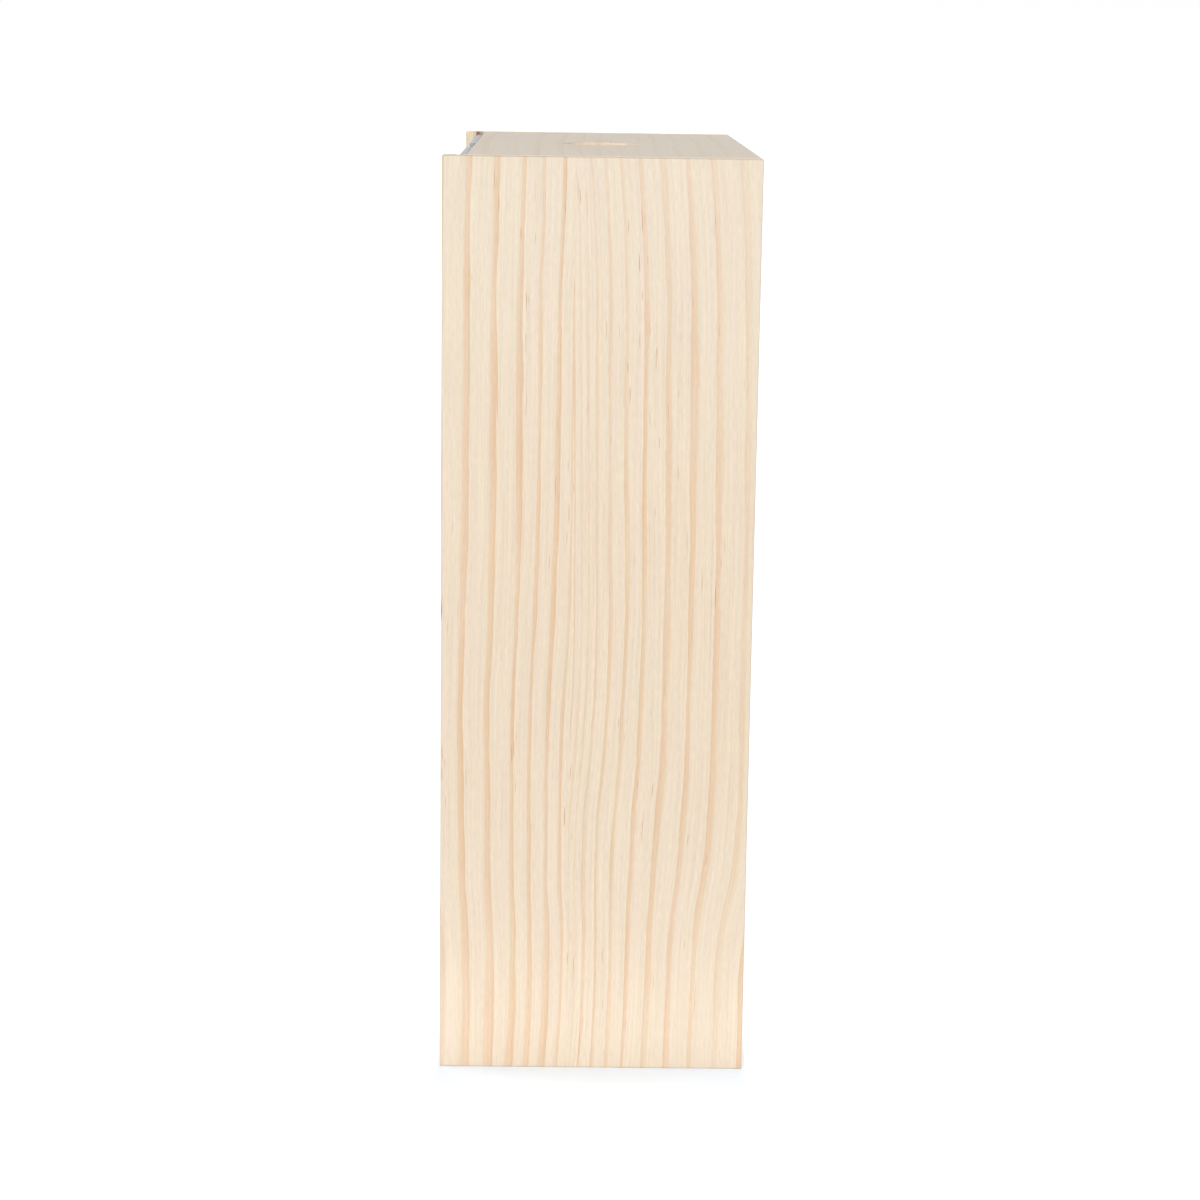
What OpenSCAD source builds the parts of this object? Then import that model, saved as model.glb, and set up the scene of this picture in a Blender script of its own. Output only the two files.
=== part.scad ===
// Tall pine box for keeping wine corks: they drop in through a hole in the top, and a clear front pane
// slides up out of its grooves to let them out again.
// Millimetres. The origin is the middle of the underside, +Z is up and the front faces -Y.

/* [Box] */
// Width across the outsides of the two sides
box_w = 276; // [200:1:360]
// Depth from the front edges to the back
box_d = 134; // [110:1:200]
// Height over all
box_h = 400; // [250:1:500]
// Thickness of the side, top and bottom boards
board_t = 12; // [10:0.5:18]
// Radius that eases the outer edges of the carcass
ease_r = 0.5; // [0.4:0.1:2.5]

/* [Staves] */
// Width of the front stave of each side
side_stave_w = 56; // [40:1:70]
// Glue joint of the top, behind the front edges of the sides
top_joint = 91; // [88:1:100]
// Glue joint of the bottom, behind the front edges of the sides
bottom_joint = 62; // [40:1:90]

/* [Cork hole] */
// Diameter of the drop hole in the top
hole_d = 35; // [26:0.5:45]
// Middle of the hole, behind the front edges of the sides
hole_back = 67; // [50:0.5:68]
// Radius that eases the two rims of the hole
hole_ease = 0.6; // [0.4:0.1:2]

/* [Front pane] */
// Thickness of the clear pane
pane_t = 3; // [1.5:0.1:4]
// Slack between each face of the pane and its groove
pane_slack = 0.3; // [0.2:0.05:0.5]
// Wood left in front of the groove
pane_lip = 5.5; // [4:0.5:10]
// Depth of the groove in each side
groove_deep = 5; // [3:0.5:6]
// Depth of the groove in the bottom
sill_deep = 3; // [2:0.5:5]
// Slack between each upright edge of the pane and the floor of its groove
pane_edge_slack = 0.5; // [0.3:0.1:1]
// Slack under the pane when it is down
pane_seat_slack = 0.2; // [0.1:0.05:0.4]
// How far the top of the pane stays below the top of the box
pane_drop = 1.5; // [0:0.5:6]
// Gap between the groove and the front edge of the top
top_gap = 0.8; // [0.2:0.1:2]
// Width of the finger notch in the top of the pane
notch_w = 40; // [20:1:60]
// Depth of the finger notch
notch_deep = 10; // [4:0.5:10]

/* [Back panel] */
// Thickness of the back panel
back_t = 4; // [3:0.5:6]
// Width of the ledge that the back panel sits on
ledge_w = 6; // [5:0.5:7]
// Gap round the edge of the back panel
back_slack = 0.2; // [0.1:0.05:0.5]

/* [Dowels] */
// Diameter of the dowels
dowel_d = 6; // [5:0.5:8]
// Length of a dowel
dowel_len = 30; // [24:1:36]
// Length of a dowel that lies in the side
dowel_in_side = 8; // [6:0.5:8]
// Dowels in each joint
dowel_count = 3; // [2:1:4]
// First dowel, behind the front edges of the sides
dowel_front = 24; // [16:1:30]
// Last dowel, in front of the back
dowel_rear = 24; // [22:1:32]
// Glue gap round a dowel
dowel_slack = 0.05; // [0.02:0.01:0.1]
// Room for glue past each end of a dowel
dowel_end_slack = 0.5; // [0.2:0.1:1]
// Chamfer on the ends of a dowel
dowel_chamfer = 0.8; // [0.4:0.1:1.2]

/* [Panel pins] */
// Diameter of a pin
pin_d = 1.4; // [1.2:0.1:1.8]
// Length of a pin
pin_len = 16; // [12:1:18]
// Diameter of its head
pin_head_d = 2.8; // [2.4:0.1:3.2]
// Thickness of its head
pin_head_t = 0.8; // [0.5:0.1:1.2]
// Length of its point
pin_point = 2; // [1:0.1:3]
// How far the head is punched below the back panel's face
pin_sunk = 0.2; // [0:0.1:0.6]
// Gap round a pin
pin_slack = 0.03; // [0.01:0.01:0.05]
// Pins up each side
pin_rows = 5; // [3:1:7]
// Pins across the top and across the bottom
pin_columns = 3; // [2:1:5]
// Distance from the back panel's corners to the first pins
pin_corner = 45; // [40:1:60]

/* [Hidden] */
$fn = 64;
past = 1;
pine = "#efdfc6";
top_pine = "#d8cbb4";
birch_ply = "#e6d3b0";
beech = "#d9b98a";
clear = [0.80, 0.88, 0.90, 0.35];
steel = "#a9a9a6";
front_y = -box_d / 2;
back_y = box_d / 2;
inner_w = box_w - 2 * board_t;
groove_y = front_y + pane_lip;
groove_w = pane_t + 2 * pane_slack;
top_front_y = groove_y + groove_w + top_gap;
side_joint_y = front_y + side_stave_w;
top_joint_y = front_y + top_joint;
bottom_joint_y = front_y + bottom_joint;
sill_z = board_t - sill_deep;
pane_w = inner_w + 2 * (groove_deep - pane_edge_slack);
pane_z = sill_z + pane_seat_slack;
pane_h = box_h - pane_drop - pane_z;
notch_r = (notch_w * notch_w / 4 + notch_deep * notch_deep) / (2 * notch_deep);
recess_w = inner_w + 2 * ledge_w;
recess_z = board_t - ledge_w;
recess_h = box_h - 2 * recess_z;
ledge_y = back_y - back_t;
top_dowel_z = box_h - board_t / 2;
bottom_dowel_z = board_t / 2;
dowel_in_board = dowel_len - dowel_in_side;
dowel_step = (box_d - dowel_front - dowel_rear) / (dowel_count - 1);
dowel_ys = [for (i = [0 : dowel_count - 1]) front_y + dowel_front + i * dowel_step];
pin_x = (inner_w + ledge_w) / 2;
pin_low_z = recess_z + ledge_w / 2;
pin_high_z = box_h - pin_low_z;
pin_row_step = (recess_h - 2 * pin_corner) / (pin_rows - 1);
pin_row_zs = [for (i = [0 : pin_rows - 1]) recess_z + pin_corner + i * pin_row_step];
pin_column_step = (recess_w - 2 * pin_corner) / (pin_columns - 1);
pin_column_xs = [for (i = [0 : pin_columns - 1]) pin_corner - recess_w / 2 + i * pin_column_step];
pin_places = concat(
    [for (z = pin_row_zs, x = [-pin_x, pin_x]) [x, z]],
    [for (x = pin_column_xs, z = [pin_low_z, pin_high_z]) [x, z]]
);

// Rectangle about the origin with its four corners eased
module eased_rectangle(across, along) {
    square([across, along - 2 * ease_r], center = true);
    square([across - 2 * ease_r, along], center = true);
    for (x = [-1, 1], y = [-1, 1])
        translate([x * (across / 2 - ease_r), y * (along / 2 - ease_r)]) circle(ease_r);
}

// Outside of the whole carcass, with all its edges eased
module carcass_block() {
    translate([0, 0, box_h / 2]) intersection() {
        linear_extrude(box_h, center = true) eased_rectangle(box_w, box_d);
        rotate([90, 0, 0]) linear_extrude(box_d, center = true) eased_rectangle(box_w, box_h);
        rotate([90, 0, 90]) linear_extrude(box_w, center = true) eased_rectangle(box_d, box_h);
    }
}

// Slot that the pane slides in, cut into the sides and the bottom and open at the top
module pane_slot() {
    slot_w = inner_w + 2 * groove_deep;
    translate([-slot_w / 2, groove_y, sill_z]) cube([slot_w, groove_w, box_h]);
}

// Rabbet round the back opening that the back panel sits in
module back_recess() {
    translate([-recess_w / 2, ledge_y, recess_z]) cube([recess_w, back_t + past, recess_h]);
}

// Dowel along +Z, with both ends chamfered
module dowel() {
    r = dowel_d / 2;
    rotate_extrude() polygon([
        [0, 0], [r - dowel_chamfer, 0], [r, dowel_chamfer],
        [r, dowel_len - dowel_chamfer], [r - dowel_chamfer, dowel_len], [0, dowel_len]
    ]);
}

// Hole for a dowel along +Z, longer than the dowel by the glue room at each end
module dowel_bore() {
    translate([0, 0, -dowel_end_slack])
        cylinder(d = dowel_d + 2 * dowel_slack, h = dowel_len + 2 * dowel_end_slack);
}

// Places its children at the dowels of one joint: side is 1 on the right and -1 on the left
module at_dowels(side, z) {
    for (y = dowel_ys)
        translate([side * (inner_w / 2 - dowel_in_board), y, z]) rotate([0, side * 90, 0]) children();
}

// Panel pin along +Z with its point at the origin, or its hole when grow is the gap round it
module pin(grow = 0) {
    r = pin_d / 2 + grow;
    head_r = pin_head_d / 2 + grow;
    neck = pin_len - pin_head_t - grow;
    end = grow > 0 ? pin_len + pin_sunk + past : pin_len;
    rotate_extrude() polygon([
        [0, -grow], [r, pin_point - grow], [r, neck], [head_r, neck], [head_r, end], [0, end]
    ]);
}

// Places its children at every pin, pointing forward from the back
module at_pins() {
    for (place = pin_places)
        translate([place[0], back_y - pin_sunk - pin_len, place[1]]) rotate([-90, 0, 0]) children();
}

// Drop hole through the top with both rims eased
module cork_hole() {
    r = hole_d / 2;
    translate([0, front_y + hole_back, box_h - board_t]) {
        translate([0, 0, -past]) cylinder(r = r, h = board_t + 2 * past);
        rotate_extrude() difference() {
            square([r + hole_ease, hole_ease]);
            translate([r + hole_ease, hole_ease]) circle(hole_ease);
        }
        rotate_extrude() difference() {
            translate([0, board_t - hole_ease]) square([r + hole_ease, hole_ease]);
            translate([r + hole_ease, board_t - hole_ease]) circle(hole_ease);
        }
    }
}

// Part of the carcass between two depths and two heights, from x_low to x_high, with every cut made
module stave(x_low, x_high, y_low, y_high, z_low, z_high) {
    difference() {
        intersection() {
            carcass_block();
            translate([x_low, y_low, z_low]) cube([x_high - x_low, y_high - y_low, z_high - z_low]);
        }
        back_recess();
        at_pins() pin(pin_slack);
        children();
    }
}

// One stave of a side board: side is 1 on the right and -1 on the left
module side_stave(side, y_low, y_high) {
    x = side * (inner_w + board_t) / 2;
    stave(x - board_t / 2, x + board_t / 2, y_low, y_high, 0, box_h) {
        pane_slot();
        at_dowels(side, top_dowel_z) dowel_bore();
        at_dowels(side, bottom_dowel_z) dowel_bore();
    }
}

// One stave of the top board
module top_stave(y_low, y_high) {
    stave(-inner_w / 2, inner_w / 2, y_low, y_high, box_h - board_t, box_h) {
        cork_hole();
        at_dowels(1, top_dowel_z) dowel_bore();
        at_dowels(-1, top_dowel_z) dowel_bore();
    }
}

// One stave of the bottom board
module bottom_stave(y_low, y_high) {
    stave(-inner_w / 2, inner_w / 2, y_low, y_high, 0, board_t) {
        pane_slot();
        at_dowels(1, bottom_dowel_z) dowel_bore();
        at_dowels(-1, bottom_dowel_z) dowel_bore();
    }
}

module right_side_front_stave() { color(pine) side_stave(1, front_y, side_joint_y); }

module right_side_rear_stave() { color(pine) side_stave(1, side_joint_y, back_y); }

module left_side_front_stave() { color(pine) side_stave(-1, front_y, side_joint_y); }

module left_side_rear_stave() { color(pine) side_stave(-1, side_joint_y, back_y); }

module top_front_stave() { color(top_pine) top_stave(top_front_y, top_joint_y); }

module top_rear_stave() { color(top_pine) top_stave(top_joint_y, back_y); }

module bottom_front_stave() { color(pine) bottom_stave(front_y, bottom_joint_y); }

module bottom_rear_stave() { color(pine) bottom_stave(bottom_joint_y, back_y); }

module back_panel() {
    panel_w = recess_w - 2 * back_slack;
    panel_h = recess_h - 2 * back_slack;
    color(birch_ply) difference() {
        translate([-panel_w / 2, ledge_y, recess_z + back_slack]) cube([panel_w, back_t, panel_h]);
        at_pins() pin(pin_slack);
    }
}

module front_pane() {
    color(clear) difference() {
        translate([-pane_w / 2, groove_y + pane_slack, pane_z]) cube([pane_w, pane_t, pane_h]);
        translate([0, groove_y, pane_z + pane_h - notch_deep + notch_r])
            rotate([-90, 0, 0]) cylinder(r = notch_r, h = groove_w);
    }
}

module top_right_dowels() { color(beech) at_dowels(1, top_dowel_z) dowel(); }

module top_left_dowels() { color(beech) at_dowels(-1, top_dowel_z) dowel(); }

module bottom_right_dowels() { color(beech) at_dowels(1, bottom_dowel_z) dowel(); }

module bottom_left_dowels() { color(beech) at_dowels(-1, bottom_dowel_z) dowel(); }

module back_panel_pins() { color(steel) at_pins() pin(); }

right_side_front_stave();
right_side_rear_stave();
left_side_front_stave();
left_side_rear_stave();
top_front_stave();
top_rear_stave();
bottom_front_stave();
bottom_rear_stave();
back_panel();
front_pane();
top_right_dowels();
top_left_dowels();
bottom_right_dowels();
bottom_left_dowels();
back_panel_pins();
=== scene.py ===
"""Looks of a tall pine cork box: edge-glued boards, a clear sliding front pane and a thin plywood back."""

import math
import random

import bpy
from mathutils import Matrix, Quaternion, Vector


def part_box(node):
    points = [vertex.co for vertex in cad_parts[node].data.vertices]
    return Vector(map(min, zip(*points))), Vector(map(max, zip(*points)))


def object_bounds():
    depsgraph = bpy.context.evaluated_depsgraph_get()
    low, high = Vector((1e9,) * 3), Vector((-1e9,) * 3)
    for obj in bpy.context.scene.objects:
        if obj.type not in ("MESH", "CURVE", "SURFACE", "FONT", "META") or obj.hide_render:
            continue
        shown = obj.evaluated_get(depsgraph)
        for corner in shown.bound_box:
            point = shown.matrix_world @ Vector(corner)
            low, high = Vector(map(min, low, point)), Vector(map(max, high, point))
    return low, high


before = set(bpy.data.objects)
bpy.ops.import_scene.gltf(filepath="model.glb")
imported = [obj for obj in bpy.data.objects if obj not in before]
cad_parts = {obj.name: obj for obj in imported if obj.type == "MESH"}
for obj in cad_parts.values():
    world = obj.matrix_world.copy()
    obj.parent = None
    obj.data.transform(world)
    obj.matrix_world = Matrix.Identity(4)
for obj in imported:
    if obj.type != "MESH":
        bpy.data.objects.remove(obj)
cad_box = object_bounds()
low, high = cad_box

MM = 0.001
X, Y, Z = range(3)

# Faces of the box, in mm
LEFT, FRONT, BOTTOM = (corner / MM for corner in low)
RIGHT, BACK, TOP = (corner / MM for corner in high)

# Corners of the pane, and a little more than its slack in the groove, in mm
PANE_LOW, PANE_HIGH = ([part / MM for part in corner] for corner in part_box("front_pane"))
PANE_ROOM = 0.6

# Camera, solved from the corners of the box in the photograph
CAMERA_PLACE = Vector((1.3093, -0.0130, 0.4528))
CAMERA_AZIMUTH = math.radians(-0.70)
CAMERA_ELEVATION = math.radians(11.61)
CAMERA_ROLL = math.radians(0.81)
CAMERA_CLIP = 0.05
PICTURE_PIXELS = 1200
FOCAL_PIXELS = 2786.5
SENSOR = 36.0

# Lights, in metres and watts: a large soft box, and a thin strip beside the foot of the right side
KEY_PLACE = (4.6, -0.7, 2.9)
KEY_TARGET = (0.14, 0, 0.2)
KEY_SIZE = 2.0
KEY_POWER = 107
STRIP_AWAY = 0.06
STRIP_MIDDLE = -0.035
STRIP_LEVEL = 0.007
STRIP_LENGTH = 0.3
STRIP_HEIGHT = 0.01
STRIP_POWER = 0.029

# How wide each fill light looks from the box
FILL_ANGLE = math.radians(35)

# Floor, in mm: how far it reaches, and between which distances from its middle the glow changes
FLOOR_REACH = 12000
NEAR = 300
FAR = 3000

# Width of the rim round the foot of the box where the floor glows less, as a painted contact shadow, in mm
SHADOW_RIM_AT_SIDES = 120
SHADOW_RIM_AT_FRONT_AND_BACK = 3

# How strongly the floor glows near the box and far from it, and the share of that at the foot of the box
NEAR_GLOW = 0.31
FAR_GLOW = 0.35
# The foot share paints a contact shadow on the floor
FOOT_SHADOW_SHARE = 0.19

# Colours, linear
WHITE = (1, 1, 1, 1)
EARLYWOOD = (0.644, 0.541, 0.424, 1)
LATEWOOD = (0.575, 0.350, 0.182, 1)
RESIN = (0.44, 0.175, 0.06, 1)
BIRCH = (0.69, 0.550, 0.390, 1)
BIRCH_PORE = (0.40, 0.27, 0.16, 1)
BEECH = (0.52, 0.36, 0.23, 1)
BEECH_RAY = (0.32, 0.19, 0.10, 1)
STEEL = (0.55, 0.55, 0.54, 1)
CLEAR_FACE = (0.985, 0.99, 0.99, 1)
SAWN_EDGE = (0.36, 0.385, 0.40, 1)
FLOOR_WHITE = (0.865, 0.915, 0.97, 1)
CEILING = (0.45, 0.48, 0.51, 1)

# Tones that the colour of pine is multiplied by
END_GRAIN_TONE = (1.14, 1.11, 1.08, 1)
# Painted light: end grain of the top's front stave, above all the wall of the drop hole, much lighter as if
# lit
HOLE_WALL_LIGHT_TONE = (1.36, 1.31, 1.26, 1)
# Painted light: the whole left front stave is lighter, so that its front lip looks well lit
LEFT_FRONT_LIGHT_TONE = (1.06, 1.045, 1.03, 1)
WARM_TONE = (1.0, 0.967, 0.93, 1)
PINK_TONE = (1.003, 0.99, 0.998, 1)
YELLOW_TONE = (0.997, 1.006, 0.972, 1)
# Painted shade along the rounded outer edges of the box
EDGE_SHADE_TONE = (0.78, 0.79, 0.81, 1)
# Painted shade in the pane's groove
GROOVE_SHADE_TONE = (0.62, 0.45, 0.35, 1)
# Painted shade: the top staves are darker and cooler, as the top gets less light than the sides
TOP_SHADE_TONE = (0.94, 0.963, 0.988, 1)

# Noise mostly lies between these
NOISE_LOW = 0.3
NOISE_HIGH = 0.7

# Step to another noise with the same seed
OTHER_NOISE = 0.5

# Waves of the streaky noise in a mm of pine, across and along the grain
FIBRE_WAVES = (0.8, 0.014)
STREAK_WAVES = (1.9, 0.011)
TINT_WAVES = (0.55, 0.01)
SPECK_WAVES = (1.7, 0.22)

# What that noise does to pine: which part of it shows, how dark, light or rough it makes the wood, and its
# relief in mm
STREAK_RANGE = (0.56, 0.78)
STREAK_DARKNESS = 0.28
TINT_RANGE = (0.35, 0.65)
FIBRE_SHADE = (0.94, 1.06)
SPECK_SHADE = (0.965, 1.035)
PINE_ROUGHNESS = (0.46, 0.58)
PINE_BUMP = 0.03

# How far pine takes the warm tone, at shares of its length along the grain
WARM_SHARES = ((0, 0.4), (0.25, 0.8), (0.5, 1), (0.75, 0.55), (1, 0.1))

# How squarely a surface faces along an axis: where end grain starts, where a sheet's face starts, and where
# either is full
END_SLANTED = 0.6
FACE_SLANTED = 0.5
SQUARE = 0.8

# Painted shade on the outer edges of the box: how far from an edge it is full and where it ends, in mm
EDGE_SHADE_FULL = 0.15
EDGE_SHADE_END = 0.5

# Painted shade in the pane's groove: how far behind its front wall the wood is fully dark, in mm
GROOVE_SHADE_FULL = 0.8

# Growth rings, in mm: length, breadth and size of their small wobbles, and their slant for each mm of depth
WOBBLE_LENGTH = 60
WOBBLE_BREADTH = 45
WOBBLE = 0.4
RING_SLANT = 0.35

# Latewood through one ring, from its start to its hard edge: share of the ring, and how dark it is there
LATE_PROFILE = (
    (0, 0), (0.6, 0.03), (0.7, 0.12), (0.74, 0.58), (0.85, 0.7), (0.93, 0.78), (0.965, 0.95), (0.985, 0.8),
    (1, 0),
)

# How far fibres move the edge of a ring, in rings, and the share of the length that a flare takes up
EDGE_FUZZ = 0.05
FLARE_SHARE = 0.22

# How a dark band's breadth changes: mm along the grain, power of its profile, and step from year to year
BAND_LENGTH = 120
BAND_POWERS = (0.75, 1.7)
BAND_YEAR_STEP = 3.7

# How a dark band's darkness changes: mm along the grain, its range, and step from year to year
UNEVEN_LENGTH = 80
UNEVEN_DARKNESS = (0.65, 1.1)
UNEVEN_YEAR_STEP = 7.3

# Rings that are made up: how dark they are, and how much the width of one varies
RING_DARKNESS = (0.3, 1.0)
RING_WIDTHS = (0.8, 1.2)

# Resin flecks: columns in a mm across the grain, waves in a mm along it, steps in the noise from column to
# column, and the part of the noise that shows
FLECK_COLUMNS = 3.2
FLECK_WAVES = 0.05
FLECK_STEP = 7.31
FLECK_SHIFT = 0.37
FLECK_RANGE = (0.69, 0.76)

# Groups of resin flecks: size in mm, part of the noise where they fade in, and strength outside and in them
GROUP_BREADTH = 16
GROUP_LENGTH = 60
GROUP_RANGE = (0.48, 0.62)
GROUP_STRENGTH = (0.1, 0.8)

# Rings of the right side: mm behind the front of each ring's hard edge, and how dark its latewood is
RIGHT_FRONT_RINGS = (
    (-9, 0.4), (1, 0.6), (12.6, 0.85), (24.6, 0.8), (35.7, 0.9), (43.8, 0.8), (52.1, 0.8), (58.5, 0.75),
    (64, 0.4), (69, 0.4),
)
RIGHT_REAR_RINGS = (
    (152, 0.4), (140, 0.9), (129, 0.45), (116.7, 0.75), (105.7, 0.8), (95.2, 0.7), (85.7, 0.88), (78, 0.7),
    (71.3, 0.7), (65.7, 0.6), (62.2, 0.4), (59.3, 0.45), (56.4, 0.8), (53.5, 0.3), (50, 0.2), (46, 0.2),
)

# How far rings wander backward, in mm, at even steps along the grain: in the stave's front and in its rear
RIGHT_FRONT_DRIFT = (
    (0.8, 0.6, -1.9, -2.8, -2.5, -0.6, -0.8, -0.6, 0),
    (-6.6, -4.6, -5.5, -5.4, -3.1, -1.5, -1.5, -1.2, 0),
)
RIGHT_REAR_DRIFT = (
    (-5.0, -3.2, -3.5, -0.6, 0.9, 0.5, -0.3, -1.1, -4.6),
    (-8.2, -7.3, -1.2, 0.8, 0.35, 0.4, -0.45, -1.6, -4.8),
)
LEFT_FRONT_DRIFT = ((2, 0.5, -1, 0, 2, 3, 1), (1, -1, -3, -1, 0, 2, 4))
LEFT_REAR_DRIFT = ((3, 1, -1, -2, 0, 2, 4), (5, 2, 0, -1, -1, 1, 2))
TOP_FRONT_DRIFT = ((2, 0, -1, 0, 1, 2), (1, 2, 0, -1, -2, 0))
TOP_REAR_DRIFT = ((1, 2, 1, -1, 0), (0, 1, 2, 0, -1))
BOTTOM_FRONT_DRIFT = ((-2, 0, 2, 1, 0), (-1, 1, 3, 2, -1))
BOTTOM_REAR_DRIFT = ((0, 2, 1, -1, -3), (1, 1, 0, -2, -2))

# Where the two lists of a drift apply, in mm behind the front
SIDE_FRONT_SPAN = (12, 52)
SIDE_REAR_SPAN = (66, 123)
TOP_FRONT_SPAN = (15, 85)
TOP_REAR_SPAN = (95, 130)
BOTTOM_FRONT_SPAN = (5, 55)
BOTTOM_REAR_SPAN = (65, 125)

# How clearly the rings show at the start, the middle and the end of the grain
FULL_CONTRAST = (1, 1, 1)
RIGHT_FRONT_CONTRAST = (0.85, 1, 0.95)
RIGHT_REAR_CONTRAST = (0.8, 1, 0.6)
TOP_CONTRAST = (0.35, 0.35, 0.35)

# Birch plywood: breadth and length of its wavy figure in mm, seed and bands of that noise, and their shade
FIGURE_BREADTH = 55
FIGURE_LENGTH = 230
FIGURE_SEED = 0.5
FIGURE_BANDS = 18
FIGURE_SHADE = (0.95, 1.03)

# Streaks and pores of birch: waves in a mm across the grain, along it and through it, and what they do
BIRCH_STREAK_WAVES = (0.8, 0.02, 1)
BIRCH_STREAK_SHADE = (0.95, 1.05)
BIRCH_PORE_WAVES = (3, 0.25, 1)
BIRCH_PORE_RANGE = (0.68, 0.76)
BIRCH_PORE_STRENGTH = 0.3
BIRCH_ROUGHNESS = (0.52, 0.66)
BIRCH_BUMP = 0.03

# Middle one of three plies: where it fades out, in mm from the middle of the panel, and its shade
MIDDLE_PLY = (0.62, 0.72)
MIDDLE_PLY_SHADE = 0.78

# Beech: waves of its streaks and rays in a mm along X, Y and Z, and what they do
BEECH_STREAK_WAVES = (0.05, 1, 1)
BEECH_STREAK_SHADE = (0.9, 1.1)
BEECH_RAY_WAVES = (0.5, 3, 3)
BEECH_RAY_RANGE = (0.64, 0.72)
BEECH_RAY_STRENGTH = 0.5
BEECH_ROUGHNESS = (0.6, 0.75)
BEECH_BUMP = 0.04

# Steel: waves of its scuffs in a mm along X, Y and Z, and what they do
SCUFF_WAVES = (4, 0.6, 4)
SCUFF_SHADE = (0.8, 1.15)
STEEL_ROUGHNESS = (0.25, 0.45)
STEEL_BUMP = 0.01

# Faces of acrylic: roughness, the least share that they mirror, and how fast that rises with the slant
FACE_ROUGHNESS = 0.03
LEAST_MIRRORING = 0.04
MIRROR_POWER = 5

# Edges of acrylic: waves of the saw marks in a mm along X, Y and Z, what they do, and where painted shade
# makes the edges darker, in mm before the rear face
SAW_WAVES = (0.15, 0.3, 0.15)
SAW_SHADE = (0.8, 1.2)
SAW_ROUGHNESS = (0.25, 0.45)
PANE_REAR_SHADE_SPAN = (1.0, 0.6)
PANE_REAR_SHADE_LEVEL = 0.5

# Sockets of a Mix node that mixes colours
MIX_FACTOR = 0
MIX_A = 6
MIX_B = 7
MIX_RESULT = 2


class Shader:
    """Nodes of a material or world, with short ways to add them. Values are numbers, colours or sockets."""

    def __init__(self, owner, surface="Principled BSDF"):
        owner.use_nodes = True
        self.owner = owner
        self.tree = owner.node_tree
        self.surface = self.tree.nodes[surface]

    def put(self, socket, value):
        if isinstance(value, bpy.types.NodeSocket):
            self.tree.links.new(value, socket)
        else:
            socket.default_value = value

    def fill(self, node, inputs):
        for name, value in inputs.items():
            self.put(node.inputs[name.replace("_", " ")], value)

    def set(self, **inputs):
        self.fill(self.surface, inputs)

    def node(self, kind, **inputs):
        node = self.tree.nodes.new("ShaderNode" + kind)
        self.fill(node, inputs)
        return node

    def math(self, operation, *values):
        node = self.node("Math")
        node.operation = operation
        for socket, value in zip(node.inputs, values):
            self.put(socket, value)
        return node.outputs[0]

    def times(self, *values):
        result = values[0]
        for value in values[1:]:
            result = self.math("MULTIPLY", result, value)
        return result

    def scale_to(self, value, from_low, from_high, to_low, to_high):
        node = self.node(
            "MapRange", Value=value, From_Min=from_low, From_Max=from_high, To_Min=to_low, To_Max=to_high
        )
        return node.outputs[0]

    def spread(self, noise, to_low, to_high):
        """Stretches noise over a range."""
        return self.scale_to(noise, NOISE_LOW, NOISE_HIGH, to_low, to_high)

    def vector(self, x, y, z):
        return self.node("CombineXYZ", X=x, Y=y, Z=z).outputs[0]

    def noise(self, x, y, z, detail=2.0, rough=0.5):
        place = self.vector(x, y, z)
        return self.node("TexNoise", Vector=place, Scale=1.0, Detail=detail, Roughness=rough).outputs[0]

    def waves(self, place, counts, detail, rough=0.5):
        """Noise with so many waves in a mm along each part of a place."""
        return self.noise(*(self.times(part, count) for part, count in zip(place, counts)), detail, rough)

    def curve(self, value, points):
        """Smooth curve through points whose two numbers both run from 0 to 1."""
        node = self.node("FloatCurve", Value=value)
        line = node.mapping.curves[0]
        line.points[0].location = points[0]
        line.points[-1].location = points[-1]
        for point in points[1:-1]:
            line.points.new(*point)
        node.mapping.update()
        return node.outputs[0]

    def mix(self, factor, a, b, blend="MIX"):
        node = self.node("Mix")
        node.data_type = "RGBA"
        node.blend_type = blend
        for socket, value in ((MIX_FACTOR, factor), (MIX_A, a), (MIX_B, b)):
            self.put(node.inputs[socket], value)
        return node.outputs[MIX_RESULT]

    def toned(self, colour, tone, share=1.0):
        """Multiplies a colour by a tone, fully where the share is 1."""
        return self.mix(share, colour, tone, "MULTIPLY")

    def shaded(self, colour, shade, share=1.0):
        """Multiplies a colour by one number, fully where the share is 1."""
        return self.toned(colour, self.vector(shade, shade, shade), share)

    def mix_shaders(self, factor, a, b):
        node = self.node("MixShader", Fac=factor)
        self.put(node.inputs[1], a.outputs[0])
        self.put(node.inputs[2], b.outputs[0])
        return node

    def bump(self, height, distance):
        """Bump whose distance is in mm."""
        self.set(Normal=self.node("Bump", Height=height, Distance=distance * MM).outputs[0])

    def place(self):
        """X, Y and Z on the object, in mm."""
        split = self.node("SeparateXYZ", Vector=self.node("TexCoord").outputs["Object"])
        return [self.math("DIVIDE", split.outputs[axis], MM) for axis in (X, Y, Z)]

    def facing(self, axis):
        """How squarely the surface faces along an axis, from 0 to 1."""
        split = self.node("SeparateXYZ", Vector=self.node("NewGeometry").outputs["Normal"])
        return self.math("ABSOLUTE", split.outputs[axis])


def grown_rings(first, last, widest, narrowest, seed):
    """Made-up rings from first to last, in mm behind the front, that get narrower on the way."""
    chance = random.Random(seed)
    rings = []
    place = first
    while abs(place - first) < abs(last - first):
        rings.append((place, chance.uniform(*RING_DARKNESS)))
        width = widest + (narrowest - widest) * (place - first) / (last - first)
        place += math.copysign(width * chance.uniform(*RING_WIDTHS), last - first)
    rings.append((place, chance.uniform(*RING_DARKNESS)))
    return rings


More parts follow.
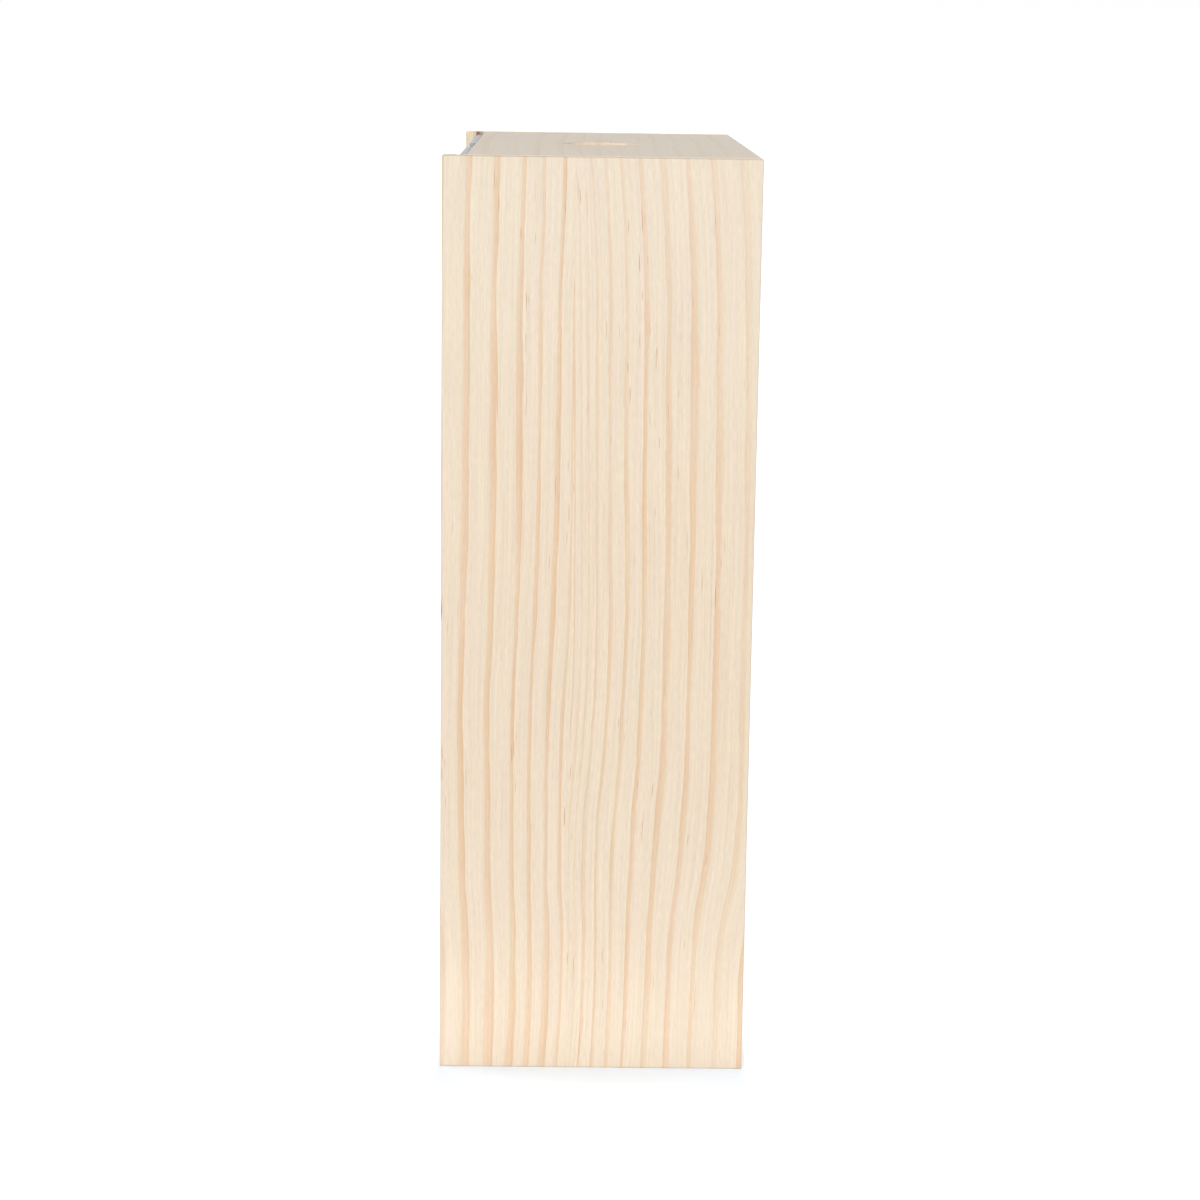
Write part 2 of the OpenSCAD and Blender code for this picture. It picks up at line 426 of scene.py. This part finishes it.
def wander(shader, share, steps):
    """Smooth curve through steps, in mm, at even shares of the length."""
    reach = 1 + max(abs(step) for step in steps)
    points = [(i / (len(steps) - 1), 0.5 + step / (2 * reach)) for i, step in enumerate(steps)]
    return shader.scale_to(shader.curve(share, points), 0, 1, -reach, reach)


def ring_place(shader, along, behind, deep, share, drift, span, seed):
    """Where a point would lie on the outer face if the rings ran straight, in mm behind the front."""
    fore, aft = (wander(shader, share, steps) for steps in drift)
    across = shader.scale_to(behind, *span, 0, 1)
    moved = shader.math("MULTIPLY_ADD", across, shader.math("SUBTRACT", aft, fore), fore)
    wobble = shader.noise(
        shader.math("DIVIDE", along, WOBBLE_LENGTH), shader.math("DIVIDE", behind, WOBBLE_BREADTH), seed
    )
    moved = shader.math("ADD", moved, shader.spread(wobble, -WOBBLE, WOBBLE))
    return shader.math("MULTIPLY_ADD", deep, RING_SLANT, shader.math("SUBTRACT", behind, moved))


def grain_noise(shader, at, along, deep, waves, seed, detail, rough=0.5):
    """Noise drawn out along the grain, which follows the rings."""
    across_grain, along_grain = waves
    return shader.noise(
        shader.times(at, across_grain),
        shader.times(along, along_grain),
        shader.math("MULTIPLY_ADD", deep, across_grain, seed),
        detail,
        rough,
    )


def latewood(shader, at, along, fibre, share, rings, flare, seed):
    """How dark the growth rings are, from 0 to 1: each darkens outward and ends at a hard edge. The dark
    bands are wider at the start of the grain where flare is under 1."""
    nearest = min(edge for edge, dark in rings)
    furthest = max(edge for edge, dark in rings)
    count = len(rings) - 1
    ages = sorted(
        ((edge - nearest) / (furthest - nearest), i / count) for i, (edge, dark) in enumerate(rings)
    )
    grown = shader.curve(shader.scale_to(at, nearest, furthest, 0, 1), ages)
    dark = shader.curve(grown, [(i / count, dark) for i, (edge, dark) in enumerate(rings)])
    age = shader.math("MULTIPLY_ADD", grown, count, shader.spread(fibre, -EDGE_FUZZ, EDGE_FUZZ))
    year = shader.math("CEIL", age)
    breadth = shader.noise(
        shader.math("DIVIDE", along, BAND_LENGTH), shader.times(year, BAND_YEAR_STEP), seed + OTHER_NOISE
    )
    narrow = shader.times(
        shader.spread(breadth, *BAND_POWERS), shader.scale_to(share, 0, FLARE_SHARE, flare, 1)
    )
    season = shader.math("POWER", shader.math("FRACT", age), narrow)
    uneven = shader.noise(
        shader.math("DIVIDE", along, UNEVEN_LENGTH), shader.times(year, UNEVEN_YEAR_STEP), seed
    )
    return shader.times(shader.curve(season, LATE_PROFILE), dark, shader.spread(uneven, *UNEVEN_DARKNESS))


def resin_flecks(shader, at, along, behind, deep, seed):
    """Short thin dashes along the grain, in loose groups."""
    column = shader.math("FLOOR", shader.times(shader.math("ADD", at, deep), FLECK_COLUMNS))
    dash = shader.noise(
        shader.times(column, FLECK_STEP),
        shader.math("MULTIPLY_ADD", along, FLECK_WAVES, shader.times(column, FLECK_SHIFT)),
        seed,
        detail=1,
    )
    group = shader.noise(
        shader.math("DIVIDE", behind, GROUP_BREADTH),
        shader.math("DIVIDE", along, GROUP_LENGTH),
        seed + OTHER_NOISE,
        detail=1,
    )
    return shader.times(
        shader.scale_to(dash, *FLECK_RANGE, 0, 1), shader.scale_to(group, *GROUP_RANGE, *GROUP_STRENGTH)
    )


def near_edges(shader, place):
    """How near a point is to an outer edge of the whole box, from 0 to 1."""
    gaps = []
    for axis in (X, Y, Z):
        middle = (low[axis] + high[axis]) / (2 * MM)
        half = (high[axis] - low[axis]) / (2 * MM)
        off = shader.math("ABSOLUTE", shader.math("SUBTRACT", place[axis], middle))
        gaps.append(shader.math("SUBTRACT", half, off))
    upright = shader.math("MAXIMUM", gaps[X], gaps[Y])
    level = shader.math("MAXIMUM", shader.math("MINIMUM", gaps[X], gaps[Y]), gaps[Z])
    return shader.scale_to(shader.math("MINIMUM", upright, level), EDGE_SHADE_FULL, EDGE_SHADE_END, 1, 0)


def groove_shade(shader, place):
    """Share of painted shade in the pane's groove: 1 by its front wall, down to 0 at its rear wall and
    elsewhere.
    """
    x, y, z = place
    front = PANE_LOW[Y] - PANE_ROOM
    return shader.times(
        shader.math("GREATER_THAN", y, front),
        shader.scale_to(y, front + GROOVE_SHADE_FULL, PANE_HIGH[Y], 1, 0),
        shader.math("LESS_THAN", shader.math("ABSOLUTE", x), PANE_HIGH[X] + PANE_ROOM),
        shader.math("GREATER_THAN", z, PANE_LOW[Z] - PANE_ROOM),
    )


def pine(
    name, grain, face, rings, drift, span, seed,
    tone=WHITE, ends=END_GRAIN_TONE, contrast=FULL_CONTRAST, flare=1.0, warmth=1.0,
):
    """Pine stave with its grain along one axis and its rings met from front to back. face is the stave's
    outer face, in mm, where rings lists the hard edges outward from the pith. drift is how far the rings
    wander backward, in mm, at even steps along the grain: one list for each end of span. contrast is how
    clearly the rings show at the start, the middle and the end of the grain. warmth is how far the stave
    takes the warm tone. tone multiplies the whole stave and ends its end grain: through them the top staves
    get painted shade, the left front stave painted light, and the wall of the drop hole painted light."""
    shader = Shader(bpy.data.materials.new(name))
    place = shader.place()
    along = place[grain]
    behind = shader.math("SUBTRACT", place[Y], FRONT)
    deep = shader.math("ABSOLUTE", shader.math("SUBTRACT", place[X + Z - grain], face))
    share = shader.scale_to(along, low[grain] / MM, high[grain] / MM, 0, 1)
    at = ring_place(shader, along, behind, deep, share, drift, span, seed)
    fibre = grain_noise(shader, at, along, deep, FIBRE_WAVES, seed, detail=3, rough=0.7)
    streak = grain_noise(shader, at, along, deep, STREAK_WAVES, seed, detail=2)
    tint = grain_noise(shader, at, along, deep, TINT_WAVES, seed + OTHER_NOISE, detail=3)
    speck = grain_noise(shader, at, along, deep, SPECK_WAVES, seed, detail=1)
    late = latewood(shader, at, along, fibre, share, rings, flare, seed)
    late = shader.math("MAXIMUM", late, shader.scale_to(streak, *STREAK_RANGE, 0, STREAK_DARKNESS))
    clear = shader.curve(share, [(0, contrast[0]), (0.5, contrast[1]), (1, contrast[2])])
    hue = shader.mix(shader.scale_to(tint, *TINT_RANGE, 0, 1), PINK_TONE, YELLOW_TONE)
    end = shader.scale_to(shader.facing(grain), END_SLANTED, SQUARE, 0, 1)
    colour = shader.mix(shader.times(late, clear), EARLYWOOD, LATEWOOD)
    # tone: painted shade on the top staves, painted light on the left front stave
    colour = shader.toned(colour, tone)
    colour = shader.toned(colour, WARM_TONE, shader.times(shader.curve(share, WARM_SHARES), warmth))
    colour = shader.toned(colour, hue)
    colour = shader.shaded(colour, shader.spread(fibre, *FIBRE_SHADE))
    colour = shader.shaded(colour, shader.spread(speck, *SPECK_SHADE))
    colour = shader.mix(resin_flecks(shader, at, along, behind, deep, seed), colour, RESIN)
    # End grain takes its tone; on the top's front stave that is painted light on the wall of the drop hole
    colour = shader.toned(colour, ends, end)
    # Painted shade: darker along the outer edges of the box
    colour = shader.toned(colour, EDGE_SHADE_TONE, near_edges(shader, place))
    # Painted shade in the pane's groove, deepest by its front wall
    colour = shader.toned(colour, GROOVE_SHADE_TONE, groove_shade(shader, place))
    shader.set(Base_Color=colour, Roughness=shader.spread(fibre, *PINE_ROUGHNESS))
    shader.bump(fibre, PINE_BUMP)
    return shader.owner


def birch_plywood(name):
    """Rotary-cut veneer: broad wavy figure and short fine pores on its faces, three plies on its edges."""
    shader = Shader(bpy.data.materials.new(name))
    x, y, z = shader.place()
    height = shader.noise(
        shader.math("DIVIDE", x, FIGURE_BREADTH),
        shader.math("DIVIDE", z, FIGURE_LENGTH),
        FIGURE_SEED,
        detail=1,
    )
    band = shader.math("PINGPONG", shader.times(height, FIGURE_BANDS), 1)
    figure = shader.scale_to(band, 0, 1, *FIGURE_SHADE)
    streak = shader.waves((x, z, y), BIRCH_STREAK_WAVES, detail=3, rough=0.6)
    pore = shader.waves((x, z, y), BIRCH_PORE_WAVES, detail=0)
    panel_low, panel_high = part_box("back_panel")
    middle = (panel_low[Y] + panel_high[Y]) / (2 * MM)
    off = shader.math("ABSOLUTE", shader.math("SUBTRACT", y, middle))
    ply = shader.scale_to(off, *MIDDLE_PLY, MIDDLE_PLY_SHADE, 1)
    edge = shader.scale_to(shader.facing(Y), FACE_SLANTED, SQUARE, 1, 0)
    colour = shader.shaded(BIRCH, shader.times(figure, shader.spread(streak, *BIRCH_STREAK_SHADE)))
    pores = shader.scale_to(pore, *BIRCH_PORE_RANGE, 0, BIRCH_PORE_STRENGTH)
    colour = shader.mix(pores, colour, BIRCH_PORE)
    colour = shader.shaded(colour, ply, edge)
    shader.set(Base_Color=colour, Roughness=shader.spread(streak, *BIRCH_ROUGHNESS))
    shader.bump(streak, BIRCH_BUMP)
    return shader.owner


def beech(name):
    """Turned dowel rod, grain along X: warm, with short darker ray flecks."""
    shader = Shader(bpy.data.materials.new(name))
    place = shader.place()
    streak = shader.waves(place, BEECH_STREAK_WAVES, detail=3, rough=0.6)
    ray = shader.waves(place, BEECH_RAY_WAVES, detail=0)
    colour = shader.shaded(BEECH, shader.spread(streak, *BEECH_STREAK_SHADE))
    rays = shader.scale_to(ray, *BEECH_RAY_RANGE, 0, BEECH_RAY_STRENGTH)
    colour = shader.mix(rays, colour, BEECH_RAY)
    shader.set(Base_Color=colour, Roughness=shader.spread(streak, *BEECH_ROUGHNESS))
    shader.bump(streak, BEECH_BUMP)
    return shader.owner


def steel(name):
    """Bright drawn wire, scuffed by the hammer."""
    shader = Shader(bpy.data.materials.new(name))
    scuff = shader.waves(shader.place(), SCUFF_WAVES, detail=3, rough=0.6)
    colour = shader.shaded(STEEL, shader.spread(scuff, *SCUFF_SHADE))
    shader.set(Base_Color=colour, Roughness=shader.spread(scuff, *STEEL_ROUGHNESS), Metallic=1.0)
    shader.bump(scuff, STEEL_BUMP)
    return shader.owner


def acrylic(name):
    """Clear sheet: bright polished faces, and sawn edges that look grey-blue, with painted shade that
    darkens them at the rear.
    """
    shader = Shader(bpy.data.materials.new(name))
    place = shader.place()
    clear = shader.node("BsdfTransparent", Color=CLEAR_FACE)
    gloss = shader.node("BsdfGlossy", Color=WHITE, Roughness=FACE_ROUGHNESS)
    slant = shader.node("LayerWeight", Blend=0.5).outputs["Facing"]
    mirror = shader.scale_to(shader.math("POWER", slant, MIRROR_POWER), 0, 1, LEAST_MIRRORING, 1)
    sheet = shader.mix_shaders(mirror, clear, gloss)
    saw = shader.waves(place, SAW_WAVES, detail=4, rough=0.6)
    shade_from, shade_to = (PANE_HIGH[Y] - before for before in PANE_REAR_SHADE_SPAN)
    # Painted shade: the sawn edges darken towards the rear face
    rear = shader.scale_to(place[Y], shade_from, shade_to, 1, PANE_REAR_SHADE_LEVEL)
    colour = shader.shaded(SAWN_EDGE, shader.times(shader.spread(saw, *SAW_SHADE), rear))
    shader.set(Base_Color=colour, Roughness=shader.spread(saw, *SAW_ROUGHNESS))
    face = shader.scale_to(shader.facing(Y), FACE_SLANTED, SQUARE, 0, 1)
    whole = shader.mix_shaders(face, shader.surface, sheet)
    shader.put(shader.tree.nodes["Material Output"].inputs["Surface"], whole.outputs[0])
    return shader.owner


def add_floor():
    """White floor that glows like a light table, and less so towards the foot of the box, as a painted
    contact shadow.
    """
    reach = FLOOR_REACH * MM
    corners = [(-reach, -reach, 0), (reach, -reach, 0), (reach, reach, 0), (-reach, reach, 0)]
    mesh = bpy.data.meshes.new("floor")
    mesh.from_pydata(corners, [], [(0, 1, 2, 3)])
    floor = bpy.data.objects.new("floor", mesh)
    bpy.context.scene.collection.objects.link(floor)
    shader = Shader(bpy.data.materials.new("white floor"))
    x, y = shader.place()[:2]
    # Painted contact shadow: the glow falls to its foot share in a rim round the box
    beyond_sides = shader.math("SUBTRACT", shader.math("ABSOLUTE", x), RIGHT)
    beyond_ends = shader.math("SUBTRACT", shader.math("ABSOLUTE", y), BACK)
    beyond = shader.math(
        "MAXIMUM",
        shader.math("DIVIDE", beyond_sides, SHADOW_RIM_AT_SIDES),
        shader.math("DIVIDE", beyond_ends, SHADOW_RIM_AT_FRONT_AND_BACK),
    )
    distance = shader.node("VectorMath", Vector=shader.vector(x, y, 0))
    distance.operation = "LENGTH"
    glow = shader.scale_to(distance.outputs["Value"], NEAR, FAR, NEAR_GLOW, FAR_GLOW)
    rise = shader.scale_to(beyond, 0, 1, 0, 1)
    glow = shader.times(glow, shader.scale_to(shader.times(rise, rise), 0, 1, FOOT_SHADOW_SHARE, 1))
    shader.set(
        Base_Color=FLOOR_WHITE,
        Roughness=0.9,
        Specular_IOR_Level=0.1,
        Emission_Color=WHITE,
        Emission_Strength=glow,
    )
    mesh.materials.append(shader.owner)


def add_light(lamp, towards, mirrored):
    """Adds a lamp that faces in a direction. The clear pane mirrors it only if mirrored is true."""
    light = bpy.data.objects.new(lamp.name, lamp)
    light.visible_glossy = mirrored
    light.rotation_mode = "QUATERNION"
    light.rotation_quaternion = Vector(towards).to_track_quat("-Z", "Y")
    bpy.context.scene.collection.objects.link(light)
    return light


def add_soft_box(name, place, target, width, height, power, mirrored=True):
    lamp = bpy.data.lights.new(name, "AREA")
    lamp.shape = "RECTANGLE"
    lamp.size = width
    lamp.size_y = height
    lamp.energy = power
    light = add_light(lamp, Vector(target) - Vector(place), mirrored)
    light.location = place


def add_fill(name, towards, strength):
    """Wide soft light from far away."""
    lamp = bpy.data.lights.new(name, "SUN")
    lamp.angle = FILL_ANGLE
    lamp.energy = strength
    add_light(lamp, towards, mirrored=False)


def add_world(horizon, zenith):
    """White room whose walls are brighter than its cool ceiling."""
    world = bpy.data.worlds.new("white room")
    shader = Shader(world, "Background")
    split = shader.node("SeparateXYZ", Vector=shader.node("TexCoord").outputs["Generated"])
    shader.set(Color=shader.mix(split.outputs[Z], horizon, zenith))
    bpy.context.scene.world = world


def add_camera():
    camera = bpy.data.cameras.new("camera")
    camera.sensor_width = SENSOR
    camera.lens = SENSOR * FOCAL_PIXELS / PICTURE_PIXELS
    camera.clip_start = CAMERA_CLIP
    eye = bpy.data.objects.new("camera", camera)
    look = Vector((
        -math.cos(CAMERA_ELEVATION) * math.cos(CAMERA_AZIMUTH),
        -math.cos(CAMERA_ELEVATION) * math.sin(CAMERA_AZIMUTH),
        -math.sin(CAMERA_ELEVATION),
    ))
    eye.location = CAMERA_PLACE
    eye.rotation_mode = "QUATERNION"
    eye.rotation_quaternion = look.to_track_quat("-Z", "Y") @ Quaternion((0, 0, 1), CAMERA_ROLL)
    bpy.context.scene.collection.objects.link(eye)
    bpy.context.scene.camera = eye


dowel_look = beech("beech")
LOOKS = {
    "right_side_front_stave": pine(
        "pine right front", grain=Z, face=RIGHT, rings=RIGHT_FRONT_RINGS, drift=RIGHT_FRONT_DRIFT,
        span=SIDE_FRONT_SPAN, seed=1, contrast=RIGHT_FRONT_CONTRAST, flare=0.5,
    ),
    "right_side_rear_stave": pine(
        "pine right rear", grain=Z, face=RIGHT, rings=RIGHT_REAR_RINGS, drift=RIGHT_REAR_DRIFT,
        span=SIDE_REAR_SPAN, seed=2, contrast=RIGHT_REAR_CONTRAST,
    ),
    "left_side_front_stave": pine(
        "pine left front", grain=Z, face=LEFT,
        rings=grown_rings(-15, 70, widest=12, narrowest=7, seed=3),
        drift=LEFT_FRONT_DRIFT, span=SIDE_FRONT_SPAN, seed=3, tone=LEFT_FRONT_LIGHT_TONE,
    ),
    "left_side_rear_stave": pine(
        "pine left rear", grain=Z, face=LEFT,
        rings=grown_rings(150, 44, widest=13, narrowest=6, seed=4),
        drift=LEFT_REAR_DRIFT, span=SIDE_REAR_SPAN, seed=4,
    ),
    "top_front_stave": pine(
        "pine top front", grain=X, face=TOP,
        rings=grown_rings(-10, 104, widest=12, narrowest=8, seed=5),
        drift=TOP_FRONT_DRIFT, span=TOP_FRONT_SPAN, seed=5, tone=TOP_SHADE_TONE, ends=HOLE_WALL_LIGHT_TONE,
        contrast=TOP_CONTRAST, warmth=0.0,
    ),
    "top_rear_stave": pine(
        "pine top rear", grain=X, face=TOP,
        rings=grown_rings(150, 78, widest=10, narrowest=8, seed=6),
        drift=TOP_REAR_DRIFT, span=TOP_REAR_SPAN, seed=6, tone=TOP_SHADE_TONE, contrast=TOP_CONTRAST, warmth=0.0,
    ),
    "bottom_front_stave": pine(
        "pine bottom front", grain=X, face=BOTTOM,
        rings=grown_rings(-10, 76, widest=11, narrowest=8, seed=7),
        drift=BOTTOM_FRONT_DRIFT, span=BOTTOM_FRONT_SPAN, seed=7,
    ),
    "bottom_rear_stave": pine(
        "pine bottom rear", grain=X, face=BOTTOM,
        rings=grown_rings(150, 48, widest=12, narrowest=7, seed=8),
        drift=BOTTOM_REAR_DRIFT, span=BOTTOM_REAR_SPAN, seed=8,
    ),
    "back_panel": birch_plywood("birch plywood"),
    "front_pane": acrylic("clear acrylic"),
    "top_right_dowels": dowel_look,
    "top_left_dowels": dowel_look,
    "bottom_right_dowels": dowel_look,
    "bottom_left_dowels": dowel_look,
    "back_panel_pins": steel("steel"),
}
for name, material in LOOKS.items():
    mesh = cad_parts[name].data
    mesh.materials.clear()
    mesh.materials.append(material)

add_floor()
add_world(horizon=WHITE, zenith=CEILING)
add_soft_box("key", KEY_PLACE, KEY_TARGET, width=KEY_SIZE, height=KEY_SIZE, power=KEY_POWER)
add_soft_box(
    "foot strip",
    (high[X] + STRIP_AWAY, STRIP_MIDDLE, STRIP_LEVEL),
    (high[X], STRIP_MIDDLE, STRIP_LEVEL),
    width=STRIP_LENGTH, height=STRIP_HEIGHT, power=STRIP_POWER, mirrored=False,
)
add_fill("front fill", towards=(0.3, 1, -0.2), strength=1.5)
add_fill("left fill", towards=(1, -0.2, -0.35), strength=0.6)
add_fill("back fill", towards=(0.3, -1, -0.35), strength=0.6)
add_camera()
bpy.context.scene.view_settings.view_transform = "Standard"
